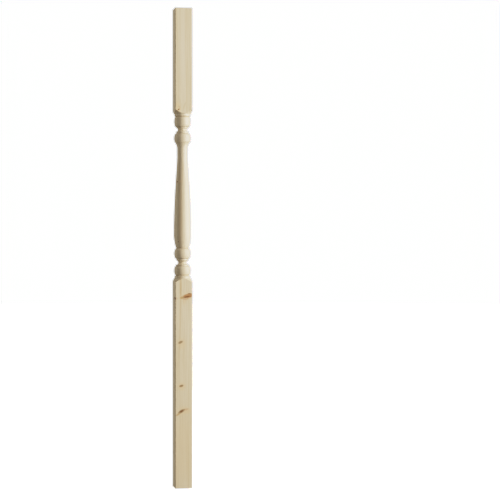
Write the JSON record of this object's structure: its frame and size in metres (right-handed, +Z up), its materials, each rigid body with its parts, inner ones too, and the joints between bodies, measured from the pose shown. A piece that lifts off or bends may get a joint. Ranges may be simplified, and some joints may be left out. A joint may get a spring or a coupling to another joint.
{
  "type": "stair spindle",
  "caption": "Square-section softwood stair spindle with plain square blocks at foot and head and a turned vase, ball and cove middle; stands between base rail and handrail.",
  "frame": {"origin": "centre of the sawn underside of the foot block", "axes": "+Z up the spindle, +X and +Y square to the faces of the blocks, -Y the face seen most in the picture"},
  "size_m": [0.032, 0.032, 0.9],
  "materials": {
    "pine": "bare pine, planed on the blocks and turned smooth in the middle, with small knots and no varnish"
  },
  "bodies": {
    "root": {"spindle": "pine"}
  },
  "joints": []
}
